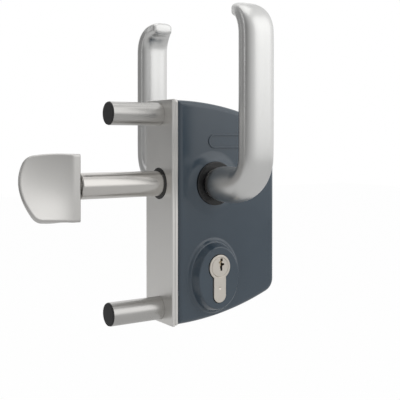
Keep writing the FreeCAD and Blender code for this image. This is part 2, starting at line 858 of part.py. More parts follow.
def hub_follower():
    """Follower: two journals, a square hole, the bevel gear and the disc the deadlock blocks."""
    gear_end = cavity_half_width - 2 * free_gap
    body = rod_y(-follower_half_length, -gear_end, journal_radius, backset, hub_height)
    body = body.fuse(rod_y(gear_end, follower_half_length, journal_radius, backset, hub_height))
    body = body.fuse(rod_y(-gear_end - past, gear_end + past, follower_hub_radius, backset, hub_height))
    gear = bevel_gear(follower_hub_radius - gear_rim, journal_radius, gear_end, 0.0)
    body = body.fuse(gear_to(gear, "+Y"))
    disc_back = -cavity_half_width + free_gap
    disc = rod_y(disc_back, disc_back + lock_disc_thickness, lock_disc_radius, backset, hub_height)
    floor = lock_disc_radius - notch_depth
    half = notch_width / 2
    y0 = disc_back - past
    y1 = disc_back + lock_disc_thickness + past
    low_notch = box(backset - half, backset + half, y0, y1,
                    hub_height - lock_disc_radius - past, hub_height - floor)
    side_notch = box(backset + floor, backset + lock_disc_radius + past, y0, y1,
                     hub_height - half, hub_height + half)
    body = body.fuse(disc.cut(low_notch.fuse(side_notch)))
    half_square = spindle_side / 2 + spindle_clearance
    hole = square_bar(-follower_half_length - past, follower_half_length + past, half_square)
    return body.cut(hole).removeSplitter()


def collar():
    """Black guide ring that carries the follower and shows round the handle's neck."""
    inner_end = cavity_half_width - free_gap / 2
    body = rod_y(-ring_face, -inner_end, collar_radius, backset, hub_height)
    flange = rod_y(-ring_face - collar_flange_thickness, -ring_face,
                   collar_flange_radius, backset, hub_height)
    front = [e for e in flange.Edges
             if abs(e.CenterOfMass.y + ring_face + collar_flange_thickness) < 0.01]
    flange = flange.makeFillet(collar_edge, front)
    bore = rod_y(-ring_face - collar_flange_thickness - past, -inner_end + past,
                 journal_radius + running_clearance, backset, hub_height)
    return body.fuse(flange).cut(bore).removeSplitter()


def square_bar(y0, y1, half):
    return box(backset - half, backset + half, y0, y1, hub_height - half, hub_height + half)


def spindle():
    bar = square_bar(-spindle_half_length, spindle_half_length, spindle_side / 2)
    ends = [e for e in bar.Edges if abs(abs(e.CenterOfMass.y) - spindle_half_length) < 0.01]
    return bar.makeChamfer(spindle_chamfer, ends)


def handle_section(inner, outer, half_width, roundness):
    """Rounded rectangle between a point on the inner and one on the outer side line."""
    mid = ((inner[0] + outer[0]) / 2, (inner[1] + outer[1]) / 2)
    reach = math.dist(inner, outer) / 2
    along = ((outer[0] - inner[0]) / 2 / reach, (outer[1] - inner[1]) / 2 / reach)
    corner = roundness * min(half_width, reach)

    def at(across, depth):
        return V(backset + across, -(mid[0] + along[0] * depth), hub_height + mid[1] + along[1] * depth)

    flat_x = half_width - corner
    flat_y = reach - corner
    bulge = corner * half_root
    quarters = ((1, 1), (-1, 1), (-1, -1), (1, -1))
    edges = []
    for index, (sx, sy) in enumerate(quarters):
        side = at(sx * half_width, sy * flat_y)
        end = at(sx * flat_x, sy * reach)
        middle = at(sx * (flat_x + bulge), sy * (flat_y + bulge))
        if index % 2 == 1:
            side, end = end, side
        edges.append(arc(side, middle, end))
        next_x, next_y = quarters[(index + 1) % 4]
        if index % 2 == 0:
            edges.append(line(end, at(next_x * flat_x, next_y * reach)))
        else:
            edges.append(line(end, at(next_x * half_width, next_y * flat_y)))
    return Part.Wire(edges)


def handle_stations():
    """Pairs of points on the inner and outer side lines, with the width and squareness there."""
    inner_reach = grip_reach - grip_thickness / 2
    outer_reach = grip_reach + grip_thickness / 2
    inner_centre = (inner_reach - bend_inner, neck_radius + bend_inner)
    outer_centre = (outer_reach - bend_outer, bend_outer - neck_radius)
    half = grip_width / 2
    tip_start = handle_rise - tip_length
    yield (neck_start, neck_radius), (neck_start, -neck_radius), neck_radius, neck_corner_share
    for step in range(bend_stations):
        turn = math.pi / 2 * step / bend_stations
        inner = (inner_centre[0] + bend_inner * math.sin(turn), inner_centre[1] - bend_inner * math.cos(turn))
        outer = (outer_centre[0] + bend_outer * math.sin(turn), outer_centre[1] - bend_outer * math.cos(turn))
        share = step / bend_stations
        width = neck_radius + (half - neck_radius) * share
        yield inner, outer, width, neck_corner_share + (grip_corner_share - neck_corner_share) * share
    grip_foot = inner_centre[1]
    yield (inner_reach, grip_foot), (outer_reach, grip_foot), half, grip_corner_share
    for step in range(tip_stations):
        turn = math.pi / 2 * step / (tip_stations - 1)
        fold = 1 - math.cos(turn)
        inner = (inner_reach - tip_curl * fold, tip_start + (tip_length - tip_thickness) * math.sin(turn))
        outer_fold = outer_reach - inner_reach + tip_curl
        outer = (outer_reach - outer_fold * fold, tip_start + tip_length * math.sin(turn))
        width = half * (1 - (1 - tip_narrowing) * fold ** 2)
        yield inner, outer, width, grip_corner_share
    low = handle_rise - tip_thickness
    for depth, share in tip_end_stations:
        shrink = tip_thickness * (1 - share) / 2
        x = inner_reach - tip_curl - tip_rounding * depth
        yield (x, low + shrink), (x, handle_rise - shrink), half * tip_narrowing * share, grip_corner_share


def handle():
    """Lever: round neck, a bend with a tight inside, a flat-oval grip and a tip curled back."""
    wires = [handle_section(*station) for station in handle_stations()]
    bend = neck_stations
    grip = neck_stations + bend_stations
    neck = Part.makeLoft([wires[0], wires[bend]], True, True)
    elbow = Part.makeLoft(wires[bend:grip + 1], True, False)
    straight = Part.makeLoft([wires[grip], wires[grip + 1]], True, True)
    tip = Part.makeLoft(wires[grip + 1:], True, True)
    lever = neck.fuse([elbow, straight, tip])
    spigot_end = follower_half_length + side_play
    spigot = rod_y(-neck_start, -spigot_end, journal_radius - side_play / 2, backset, hub_height)
    lever = lever.fuse(spigot)
    hole = square_bar(-spindle_half_length - past, -spigot_end + past, spindle_side / 2 + spindle_clearance)
    lever = lever.cut(hole)
    screw_low = hub_height - neck_radius - past
    return lever.cut(rod_z(screw_low, hub_height, handle_screw_radius, backset, -handle_screw_reach))


def handle_screw():
    top = hub_height - spindle_side / 2
    end = top - handle_screw_length
    body = rod_z(end, top, handle_screw_radius, backset, -handle_screw_reach)
    socket = hexagon_z(end - past, end + handle_screw_socket_depth, handle_screw_socket,
                       backset, -handle_screw_reach)
    return body.cut(socket)


def hexagon_z(z0, z1, across, x, y):
    reach = across / math.sqrt(3)
    points = []
    for step in range(6):
        angle = math.radians(60 * step)
        points.append(V(x + reach * math.cos(angle), y + reach * math.sin(angle), z0))
    return prism(points, V(0, 0, z1 - z0))


# Profile cylinder

def key_slot(y0, y1):
    """Crooked key slot; each row gives its height and its two sides as shares of the slot's height."""
    rows = ((1.0, 0.01, 0.23), (0.84, 0.01, 0.25), (0.74, -0.14, 0.17), (0.65, -0.14, 0.14),
            (0.58, -0.05, 0.37), (0.47, -0.05, 0.39), (0.39, -0.05, 0.19), (0.2, 0.0, 0.2), (0.0, 0.04, 0.18))
    left = []
    right = []
    for up, low_side, high_side in rows:
        z = cylinder_height + key_slot_foot + up * key_slot_height
        left.append(V(backset + low_side * key_slot_height, y0, z))
        right.append(V(backset + high_side * key_slot_height, y0, z))
    return prism(left + right[::-1], V(0, y1 - y0, 0))


def cylinder_body():
    body = euro_profile(0.0, -cylinder_half_length, cylinder_half_length)
    faces = [e for e in body.Edges if abs(abs(e.CenterOfMass.y) - cylinder_half_length) < 0.01]
    body = body.makeChamfer(cylinder_chamfer, faces)
    bore_radius = plug_radius + running_clearance
    bore = rod_y(-cylinder_half_length - past, cylinder_half_length + past,
                 bore_radius, backset, cylinder_height)
    slot = rod_y(-cam_slot_width / 2, cam_slot_width / 2, cam_slot_radius, backset, cylinder_height)
    screw_z = cylinder_height - cylinder_screw_drop
    screw = rod_x(backset - profile_radius - past, backset + profile_radius + past,
                  cylinder_screw_radius, 0, screw_z)
    body = body.cut(bore.fuse([slot, screw]))
    for side in (-1, 1):
        face_y = side * cylinder_half_length
        inwards = V(0, -side, 0)
        mark = Part.makeCone(punch_radius, punch_radius / 5, punch_depth,
                             V(backset, face_y, cylinder_height - punch_drop), inwards)
        mouth = Part.makeCone(bore_radius + plug_chamfer, bore_radius, plug_chamfer,
                              V(backset, face_y, cylinder_height), inwards)
        body = body.cut(mark.fuse(mouth))
    return body


def plug():
    face = -cylinder_half_length
    inner = -cam_slot_width / 2
    body = rod_y(face, inner, plug_radius, backset, cylinder_height)
    front = [e for e in body.Edges if abs(e.CenterOfMass.y - face) < 0.01]
    body = body.makeChamfer(plug_chamfer, front)
    nose = rod_y(inner, -plug_gap, plug_nose_radius, backset, cylinder_height)
    return body.fuse(nose).cut(key_slot(face - past, face + key_slot_depth)).removeSplitter()


def cylinder_cam():
    """Cam ring with one nose, shown at the start of its stroke, half the swing below level."""
    half = cam_width / 2
    half_neck = cam_neck / 2
    nose_x = backset + cam_nose_reach
    ring = rod_y(-half, half, cam_ring_radius, backset, cylinder_height)
    neck = box(backset, nose_x, -half, half, cylinder_height - half_neck, cylinder_height + half_neck)
    nose = rod_y(-half, half, cam_nose_radius, nose_x, cylinder_height)
    cam = ring.fuse([neck, nose])
    bore_radius = plug_nose_radius + screw_clearance
    cam = cam.cut(rod_y(-half - past, half + past, bore_radius, backset, cylinder_height))
    cam.rotate(V(backset, 0, cylinder_height), V(0, 1, 0), cam_swing / 2)
    return cam.removeSplitter()


def cylinder_screw():
    z = cylinder_height - cylinder_screw_drop
    return countersunk(plate_thickness, cylinder_screw_head, cylinder_screw_radius,
                       cylinder_screw_length, 0, z)


# Deadlock slide and its guides

def guide_heights():
    return (guide_low, guide_low + guide_spacing)


def deadlock_slide():
    """The cam lifts the fork at its foot; the nose then enters the follower's notch."""
    arm_low = slide_nose_top - slide_nose_length - slide_arm_width
    bar_top = slot_top + slot_half + slide_tail
    nose_left = backset - slide_nose_width / 2
    nose_right = backset + slide_nose_width / 2
    arm_top = slide_nose_top - slide_nose_length
    points = [
        (slide_bar_left, fork_low), (slide_bar_right, fork_low), (slide_bar_right, bar_top),
        (slide_bar_left, bar_top), (slide_bar_left, arm_top), (nose_right, arm_top),
        (nose_right, slide_nose_top), (nose_left, slide_nose_top), (nose_left, arm_low),
        (slide_bar_left, arm_low),
    ]
    sheet = prism([V(x, slide_face, z) for x, z in points], V(0, slide_thickness, 0))
    tips = [e for e in sheet.Edges if abs(e.CenterOfMass.z - slide_nose_top) < 0.01 and e.Length < 3]
    sheet = sheet.makeChamfer(slide_nose_chamfer, tips)
    jaw_left = backset + cam_nose_reach * math.cos(math.radians(cam_swing / 2)) - free_gap
    jaw_right = backset + cam_reach + free_gap
    block = box(jaw_left, slide_bar_right, -fork_half_depth, fork_half_depth, fork_low, fork_top)
    gap = box(jaw_left - past, jaw_right, -fork_half_depth - past, fork_half_depth + past,
              fork_centre - fork_half, fork_centre + fork_half)
    block = block.cut(gap)
    bridge = box(jaw_right, slide_bar_right, slide_face, -fork_half_depth, fork_low, fork_top)
    body = sheet.fuse([block, bridge])
    back = slide_face - past
    front = slide_face + slide_thickness + past
    slot = box(guide_x - slot_half, guide_x + slot_half, back, front, slot_low, slot_top)
    round_low = rod_y(back, front, slot_half, guide_x, slot_low)
    round_top = rod_y(back, front, slot_half, guide_x, slot_top)
    return body.cut(slot.fuse([round_low, round_top])).removeSplitter()


def guide_pin(z):
    inner = slide_face + slide_thickness + guide_head_gap
    shank = rod_y(-cavity_half_width, inner, guide_radius, guide_x, z)
    head = rod_y(inner, inner + guide_head_thickness, guide_head_radius, guide_x, z)
    return shank.fuse(head)


# Build every node

os.makedirs("parts", exist_ok=True)

save("lock_case", lock_case())
save("mounting_plate", plate(0.0, 0.0, sleeve_radius + running_clearance))
save("case_plate", case_plate())
save("case_screws", *case_screws())
save("fixing_sleeves", *[fixing_sleeve(z) for z in fixing_heights()])
save("fixing_bolts", *[fixing_bolt(z) for z in fixing_heights()])
save("fixing_caps", *[fixing_cap(z) for z in fixing_heights()])
save("fixing_nut_blocks", *[nut_block(z) for z in fixing_heights()])
save("bolt_bush", bolt_bush())
save("bearing_bracket", bearing_bracket())
save("bracket_rivets", *[bracket_rivet(z) for z in rivet_heights()])
save("bracket_bush", bracket_bush())
save("hook_head", hook_head())
save("head_stud", head_stud())
save("bolt_shaft", bolt_shaft())
save("stud_lock_screw", lock_screw())
save("bolt_pinion", bolt_pinion())
save("pinion_pin", pinion_pin(0.0))
save("hub_follower", hub_follower())
save("spindle", spindle())
front_collar = collar()
save("collar_front", front_collar)
save("collar_rear", mirrored_y(front_collar))
front_handle = handle()
save("handle_front", front_handle)
save("handle_rear", mirrored_y(front_handle))
front_screw = handle_screw()
save("handle_screws", front_screw, mirrored_y(front_screw))
save("cylinder_body", cylinder_body())
front_plug = plug()
save("plug_front", front_plug)
save("plug_rear", mirrored_y(front_plug))
save("cylinder_cam", cylinder_cam())
save("cylinder_screw", cylinder_screw())
save("deadlock_slide", deadlock_slide())
save("slide_guide_pins", *[guide_pin(z) for z in guide_heights()])
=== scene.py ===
import math

import bpy
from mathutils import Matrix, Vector


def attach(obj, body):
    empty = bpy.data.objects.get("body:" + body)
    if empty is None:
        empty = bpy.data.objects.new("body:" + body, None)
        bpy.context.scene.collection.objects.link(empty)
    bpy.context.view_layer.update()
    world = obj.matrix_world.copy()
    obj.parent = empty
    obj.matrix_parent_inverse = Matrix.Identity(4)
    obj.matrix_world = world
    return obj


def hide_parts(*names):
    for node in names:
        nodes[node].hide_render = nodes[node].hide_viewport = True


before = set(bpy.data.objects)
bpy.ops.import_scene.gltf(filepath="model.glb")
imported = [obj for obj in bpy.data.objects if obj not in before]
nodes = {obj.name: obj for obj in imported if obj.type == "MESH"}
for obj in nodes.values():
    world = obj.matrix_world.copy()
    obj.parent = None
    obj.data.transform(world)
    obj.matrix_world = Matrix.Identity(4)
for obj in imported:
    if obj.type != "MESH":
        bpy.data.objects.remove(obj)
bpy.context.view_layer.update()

# gate lock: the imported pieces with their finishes, and the shaped pieces that stand for some of them
# lengths are metres, +X from the mounting face into the case, -Y the side with the capsule frame, +Z up

mm = 0.001
weldGap = 0.001 * mm
mirrorGap = 0.01 * mm


# modelling helpers

def pickNothing():
    if bpy.context.object and bpy.context.object.mode != 'OBJECT':
        bpy.ops.object.mode_set(mode='OBJECT')
    bpy.ops.object.select_all(action='DESELECT')


def pickOnly(piece):
    pickNothing()
    piece.select_set(True)
    bpy.context.view_layer.objects.active = piece


def nameNew(name):
    piece = bpy.context.object
    piece.name = name
    piece.data.name = name
    return piece


def editAll(mode='VERT'):                     # edit mode with everything selected
    bpy.ops.object.mode_set(mode='EDIT')
    bpy.ops.mesh.select_mode(type=mode)
    bpy.ops.mesh.select_all(action='SELECT')


def pickEdges(piece, test):                   # selects the edges whose two ends pass the test
    bpy.ops.mesh.select_all(action='DESELECT')
    bpy.ops.object.mode_set(mode='OBJECT')
    for edge in piece.data.edges:
        edge.select = all(test(piece.data.vertices[end].co) for end in edge.vertices)
    bpy.ops.object.mode_set(mode='EDIT')


def turn(angle, axis, centre):                # without a window rotate goes the other way
    bpy.ops.transform.rotate(value=-angle, orient_axis=axis, orient_type='GLOBAL', center_override=centre)


def scale(size, centre):
    bpy.ops.transform.resize(value=size, orient_type='GLOBAL', center_override=centre)


def settle(piece):                            # place goes into the mesh, doubles merged, normals out
    pickOnly(piece)
    bpy.ops.object.transform_apply(location=True, rotation=True, scale=True)
    editAll()
    bpy.ops.mesh.remove_doubles(threshold=weldGap)
    bpy.ops.mesh.normals_make_consistent(inside=False)
    bpy.ops.object.mode_set(mode='OBJECT')


def applyModifier(piece, kind, settings):
    modifier = piece.modifiers.new(kind.lower(), kind)
    for name, value in settings.items():
        setattr(modifier, name, value)
    bpy.context.view_layer.objects.active = piece
    bpy.ops.object.modifier_apply(modifier=modifier.name)


def smooth(piece, angle=None):                # all over, or only across edges under the angle in degrees
    pickOnly(piece)
    if angle is None:
        bpy.ops.object.shade_smooth()
    else:
        bpy.ops.object.shade_smooth_by_angle(angle=math.radians(angle))


def copyAcross(piece, name):                  # a second one on the rear side
    pickOnly(piece)
    bpy.ops.object.duplicate()
    twin = nameNew(name)
    editAll()
    scale((1, -1, 1), (0, 0, 0))
    bpy.ops.mesh.normals_make_consistent(inside=False)
    bpy.ops.object.mode_set(mode='OBJECT')
    return twin


def mount(piece, body, finish, slot, *replaced):
    piece.data.materials.append(finishes[finish])
    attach(piece, body)
    if replaced:
        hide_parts(*replaced)


# finishes

class Line:                                   # a socket; what is worked out with it adds Math nodes
    def __init__(self, tree, socket=None):
        self.tree = tree
        self.socket = socket

    def node(self, kind, settings, sockets, out=0):
        made = self.tree.nodes.new(kind)
        for name, value in settings.items():
            setattr(made, name, value)
        for name, value in sockets.items():
            if isinstance(value, Line):
                self.tree.links.new(value.socket, made.inputs[name])
            else:
                made.inputs[name].default_value = value
        return Line(self.tree, made.outputs[out] if len(made.outputs) else None)

    def maths(self, operation, *values):
        return self.node('ShaderNodeMath', {'operation': operation}, dict(enumerate(values)))

    def __add__(self, other):
        return self.maths('ADD', self, other)

    __radd__ = __add__

    def __sub__(self, other):
        return self.maths('SUBTRACT', self, other)

    def __rsub__(self, other):
        return self.maths('SUBTRACT', other, self)

    def __mul__(self, other):
        return self.maths('MULTIPLY', self, other)

    __rmul__ = __mul__


def newFinish(name):
    material = bpy.data.materials.new(name)
    material.use_nodes = True
    material.node_tree.nodes.clear()
    return material, Line(material.node_tree)


def noise(line, place, size, detail=3.0, rough=0.5, stretch=None):    # size is the grain in metres
    if stretch:
        place = line.node('ShaderNodeMapping', {}, {'Vector': place, 'Scale': stretch})
    return line.node('ShaderNodeTexNoise', {}, {'Vector': place, 'Scale': 1 / size, 'Detail': detail,
                                                'Roughness': rough}, 'Fac')


def between(line, factor, given, wanted):     # the given range spread over the wanted one, clamped
    return line.node('ShaderNodeMapRange', {}, {'Value': factor, 'From Min': given[0], 'From Max': given[1],
                                                'To Min': wanted[0], 'To Max': wanted[1]})


def blend(line, factor, first, second):       # 6, 7 and 2 are the Mix node's sockets for colours
    return line.node('ShaderNodeMix', {'data_type': 'RGBA'}, {0: factor, 6: (*first, 1), 7: (*second, 1)}, 2)


edgeSamples = 4


def closeFinish(line, p, shader, height):     # p["edge"] is how far sharp edges look eased
    eased = line.node('ShaderNodeBevel', {'samples': edgeSamples}, {'Radius': p["edge"]})
    shader['Normal'] = line.node('ShaderNodeBump', {}, {'Height': height, 'Distance': p["bump"],
                                                        'Strength': p["strength"], 'Normal': eased})
    face = line.node('ShaderNodeBsdfPrincipled', {}, shader)
    line.node('ShaderNodeOutputMaterial', {}, {'Surface': face})


coating = {
    "name": "caseCoating", "dark": (0.040, 0.060, 0.082), "light": (0.050, 0.074, 0.098),
    "roughness": (0.16, 0.23), "contrast": (0.3, 0.7), "specular": 0.68,
    "clouds": 30 * mm, "peel": 1.1 * mm, "grain": 0.25 * mm, "fineDetail": 2.0,
    "cloudShare": 0.6, "peelShare": 0.7,      # the grain gives the rest
    "bump": 0.03 * mm, "strength": 0.2, "edge": 0.35 * mm,
}


def makeCoating(p):                           # powder coat with a fine orange peel
    material, line = newFinish(p["name"])
    place = line.node('ShaderNodeTexCoord', {}, {}, 'Object')
    clouds = noise(line, place, p["clouds"])
    peel = noise(line, place, p["peel"], p["fineDetail"])
    grain = noise(line, place, p["grain"], p["fineDetail"])
    colour = blend(line, clouds, p["dark"], p["light"])
    mottled = clouds * p["cloudShare"] + grain * (1 - p["cloudShare"])
    roughness = between(line, mottled, p["contrast"], p["roughness"])
    closeFinish(line, p, {'Base Color': colour, 'Roughness': roughness, 'Specular IOR Level': p["specular"]},
                peel * p["peelShare"] + grain * (1 - p["peelShare"]))
    return material


metal = {                                     # what the metals share, unless their own row says otherwise
    "clouds": 18 * mm, "cloudDetail": 2.0, "grainDetail": 4.0, "grainRough": 0.6,
    "rubs": 6 * mm, "rubDetail": 6.0, "rubRough": 0.65, "rubContrast": (0.55, 0.75),
    "darkest": 0.92, "colourClouds": 0.5, "contrast": (0.25, 0.75),
    "cloudShare": 0.3, "grainShare": 0.5, "rubShare": 0.2,
    "stretch": None, "bump": 0.01 * mm, "edge": 0.2 * mm,
}


def makeMetal(p):                             # lines or blast grain, slight clouding, a few faint rubs
    material, line = newFinish(p["name"])
    place = line.node('ShaderNodeTexCoord', {}, {}, 'Object')
    clouds = noise(line, place, p["clouds"], p["cloudDetail"])
    grain = noise(line, place, p["grain"], p["grainDetail"], p["grainRough"], p["stretch"])
    rubs = between(line, noise(line, place, p["rubs"], p["rubDetail"], p["rubRough"]),
                   p["rubContrast"], (0.0, 1.0))
    light = [p["shade"] * part for part in p["tint"]]
    dark = [part * p["darkest"] for part in light]
    colour = blend(line, clouds * p["colourClouds"] + grain * (1 - p["colourClouds"]), dark, light)
    worn = clouds * p["cloudShare"] + grain * p["grainShare"] + rubs * p["rubShare"]
    roughness = between(line, worn, p["contrast"], p["roughness"])
    closeFinish(line, p, {'Base Color': colour, 'Roughness': roughness, 'Metallic': 1.0}, grain)
    return material


plastic = {
    "clouds": 4 * mm, "grain": 0.25 * mm, "grainDetail": 2.0, "lightest": 1.4, "contrast": (0.3, 0.7),
    "bump": 0.02 * mm, "strength": 0.3, "edge": 0.2 * mm,
}


def makePlastic(p):
    material, line = newFinish(p["name"])
    place = line.node('ShaderNodeTexCoord', {}, {}, 'Object')
    clouds = noise(line, place, p["clouds"])
    grain = noise(line, place, p["grain"], p["grainDetail"])
    colour = blend(line, clouds, p["colour"], [part * p["lightest"] for part in p["colour"]])
    roughness = between(line, grain, p["contrast"], p["roughness"])
    closeFinish(line, p, {'Base Color': colour, 'Roughness': roughness}, grain)
    return material


warm = (1.0, 0.985, 0.955)
cool = (1.0, 1.0, 0.985)
yellowish = (1.0, 0.94, 0.85)
metals = {
    "plate": {"name": "plateSteel", "shade": 0.76, "tint": warm, "roughness": (0.30, 0.42),
              "grain": 0.5 * mm, "stretch": (1, 1, 0.04), "strength": 0.25},
    "sleeve": {"name": "turnedSteel", "shade": 0.50, "tint": warm, "roughness": (0.26, 0.34),
               "grain": 0.35 * mm, "stretch": (1, 0.05, 0.05), "strength": 0.12},
    "shaft": {"name": "groundSteel", "shade": 0.60, "tint": (1.0, 0.97, 0.93), "roughness": (0.20, 0.28),
              "grain": 0.3 * mm, "stretch": (1, 0.04, 0.04), "strength": 0.15},
    "handle": {"name": "handleSteel", "shade": 0.68, "tint": cool, "roughness": (0.31, 0.41),
               "grain": 0.16 * mm, "strength": 0.25},
    "hook": {"name": "hookSteel", "shade": 0.58, "tint": warm, "roughness": (0.34, 0.44),
             "grain": 0.2 * mm, "strength": 0.35},
    "screw": {"name": "screwSteel", "shade": 0.50, "tint": warm, "roughness": (0.24, 0.38),
              "grain": 0.3 * mm, "strength": 0.3},
    "gear": {"name": "gearSteel", "shade": 0.42, "tint": cool, "roughness": (0.30, 0.50),
             "grain": 0.3 * mm, "strength": 0.4},
    "plain": {"name": "zincSteel", "shade": 0.50, "tint": cool, "roughness": (0.30, 0.50),
              "grain": 0.8 * mm, "strength": 0.3},
    "nickel": {"name": "satinNickel", "shade": 0.70, "tint": yellowish, "roughness": (0.30, 0.42),
               "grain": 0.25 * mm, "stretch": (1, 1, 0.1), "strength": 0.3, "edge": 0.12 * mm},
    "plug": {"name": "plugNickel", "shade": 0.68, "tint": yellowish, "roughness": (0.28, 0.40),
             "grain": 0.25 * mm, "strength": 0.3, "edge": 0.12 * mm},
    "pin": {"name": "pinBrass", "shade": 0.66, "tint": (1.0, 0.86, 0.62), "roughness": (0.16, 0.26),
            "grain": 0.3 * mm, "strength": 0.2, "edge": 0.1 * mm},
}
plastics = {
    "collar": {"name": "collarNylon", "colour": (0.005, 0.005, 0.0055), "roughness": (0.16, 0.24)},
    "cap": {"name": "capRubber", "colour": (0.012, 0.012, 0.0125), "roughness": (0.55, 0.70)},
}
finishes = {"coating": makeCoating(coating)}
for finish, values in metals.items():
    finishes[finish] = makeMetal({**metal, **values})
for finish, values in plastics.items():
    finishes[finish] = makePlastic({**plastic, **values})

nodeFinish = {
    "lock_case": "coating", "mounting_plate": "plate", "case_plate": "plate", "case_screws": "screw",
    "fixing_sleeves": "sleeve", "fixing_bolts": "screw", "fixing_caps": "cap", "fixing_nut_blocks": "plain",
    "bolt_bush": "collar", "bearing_bracket": "plain", "bracket_rivets": "plain", "bracket_bush": "collar",
    "hook_head": "hook", "head_stud": "screw", "bolt_shaft": "shaft", "stud_lock_screw": "screw",
    "bolt_pinion": "gear", "pinion_pin": "plain", "hub_follower": "gear", "spindle": "plain",
    "collar_front": "collar", "collar_rear": "collar", "handle_front": "handle", "handle_rear": "handle",
    "handle_screws": "screw", "cylinder_body": "nickel", "plug_front": "plug", "plug_rear": "plug",
    "cylinder_cam": "gear", "cylinder_screw": "screw",
    "deadlock_slide": "plain", "slide_guide_pins": "plain",
}
for name, finish in nodeFinish.items():
    nodes[name].data.materials.clear()
    nodes[name].data.materials.append(finishes[finish])
print("finishes on", len(nodeFinish), "pieces")


# lever handles

lever = {
    "axisX": 33 * mm, "axisZ": 19.2 * mm,
    "neckRadius": 12.2 * mm, "neckStart": 22.6 * mm, "neckShares": (0, 0.5),
    "gripWidth": 22.5 * mm, "gripThickness": 15.5 * mm, "gripReach": 67.35 * mm,
    "bendInner": 7.5 * mm, "bendOuter": 32 * mm, "bendSteps": 8, "gripShares": (0.3, 0.7),
    "rise": 119.8 * mm, "tipLength": 21.5 * mm, "tipThickness": 9.5 * mm, "tipCurl": 7.2 * mm,
    "tipWidth": 0.74, "tipSteps": 8,          # the width is a share of the grip's
    "endDepths": (1.1 * mm, 2.0 * mm, 2.5 * mm, 2.6 * mm), "endShares": (0.94, 0.77, 0.5, 0.2),
    "endNarrowing": 0.5,                      # how far the width follows the thickness at the end
    "squareness": 0.15, "cornerPower": 1.5, "sides": 32, "levels": 2,
}


def leverSections():      # reach and height of the inner and outer side, half width, squareness
    p = lever
    inner = p["gripReach"] - p["gripThickness"] / 2
    outer = p["gripReach"] + p["gripThickness"] / 2
    innerFoot = p["neckRadius"] + p["bendInner"]
    outerFoot = p["bendOuter"] - p["neckRadius"]
    half = p["gripWidth"] / 2
    tipStart = p["rise"] - p["tipLength"]
    for share in p["neckShares"]:
        reach = p["neckStart"] + (inner - p["bendInner"] - p["neckStart"]) * share
        yield (reach, p["neckRadius"]), (reach, -p["neckRadius"]), p["neckRadius"], 0
    for step in range(p["bendSteps"] + 1):
        share = step / p["bendSteps"]
        angle = math.pi / 2 * share
        short = 1 - math.sin(angle)
        yield ((inner - p["bendInner"] * short, innerFoot - p["bendInner"] * math.cos(angle)),
               (outer - p["bendOuter"] * short, outerFoot - p["bendOuter"] * math.cos(angle)),
               p["neckRadius"] + (half - p["neckRadius"]) * share, p["squareness"] * share)
    for share in p["gripShares"]:
        height = innerFoot + (tipStart - innerFoot) * share
        yield (inner, height), (outer, height), half, p["squareness"]
    for step in range(p["tipSteps"]):
        angle = math.pi / 2 * step / (p["tipSteps"] - 1)
        fold = 1 - math.cos(angle)
        up = math.sin(angle)
        yield ((inner - p["tipCurl"] * fold, tipStart + (p["tipLength"] - p["tipThickness"]) * up),
               (outer - (outer - inner + p["tipCurl"]) * fold, tipStart + p["tipLength"] * up),
               half * (1 - (1 - p["tipWidth"]) * fold ** 2), p["squareness"])


def squareUp(piece, centre, half, thick, change):     # moves the diagonals of the newest section out
    bpy.ops.object.mode_set(mode='OBJECT')
    for v in piece.data.vertices:
        if v.select:
            slope = math.atan2((v.co.z - centre.z) / thick, (v.co.x - centre.x) / half)
            diagonal = abs(math.sin(2 * slope)) ** lever["cornerPower"]
            v.co = centre + (v.co - centre) * (1 + change * diagonal)
    bpy.ops.object.mode_set(mode='EDIT')


def modelLever(name):     # a disc at the neck, extruded from section to section and rounded off at the tip
    p = lever
    pickNothing()
    bpy.ops.mesh.primitive_circle_add(vertices=p["sides"], radius=p["neckRadius"], fill_type='TRIFAN',
                                      location=(p["axisX"], -p["neckStart"], p["axisZ"]),
                                      rotation=(math.pi / 2, 0, 0))
    piece = nameNew(name)
    bpy.ops.object.transform_apply(location=True, rotation=True, scale=True)
    editAll()
    old = None
    for inner, outer, half, square in leverSections():
        centre = Vector((p["axisX"], -(inner[0] + outer[0]) / 2, p["axisZ"] + (inner[1] + outer[1]) / 2))
        thick = math.hypot(outer[0] - inner[0], outer[1] - inner[1]) / 2
        lean = math.atan2(outer[0] - inner[0], inner[1] - outer[1])
        if old:
            oldCentre, oldThick, oldHalf, oldLean, oldSquare = old
            bpy.ops.mesh.extrude_region_move(TRANSFORM_OT_translate={"value": centre - oldCentre})
            turn(oldLean, 'X', centre)
            scale((half / oldHalf, 1, thick / oldThick), centre)
            if square > oldSquare:
                squareUp(piece, centre, half, thick, (1 + square) / (1 + oldSquare) - 1)
            turn(-lean, 'X', centre)
        old = (centre, thick, half, lean, square)
    depth = 0
    share = 1
    for nextDepth, nextShare in zip(p["endDepths"], p["endShares"]):
        step = Vector((0, nextDepth - depth, 0))
        bpy.ops.mesh.extrude_region_move(TRANSFORM_OT_translate={"value": step})
        centre = centre + step
        narrow = 1 - (1 - nextShare / share) * p["endNarrowing"]
        scale((narrow, 1, nextShare / share), centre)
        depth, share = nextDepth, nextShare
    settle(piece)
    applyModifier(piece, 'SUBSURF', {'levels': p["levels"], 'render_levels': p["levels"]})
    smooth(piece)
    return piece


leverFront = modelLever("leverFront")
leverRear = copyAcross(leverFront, "leverRear")
mount(leverFront, "handle", "handle", "handle_steel", "handle_front")
mount(leverRear, "handle", "handle", "handle_steel", "handle_rear")
print("levers done")


# hook at the end of the shaft

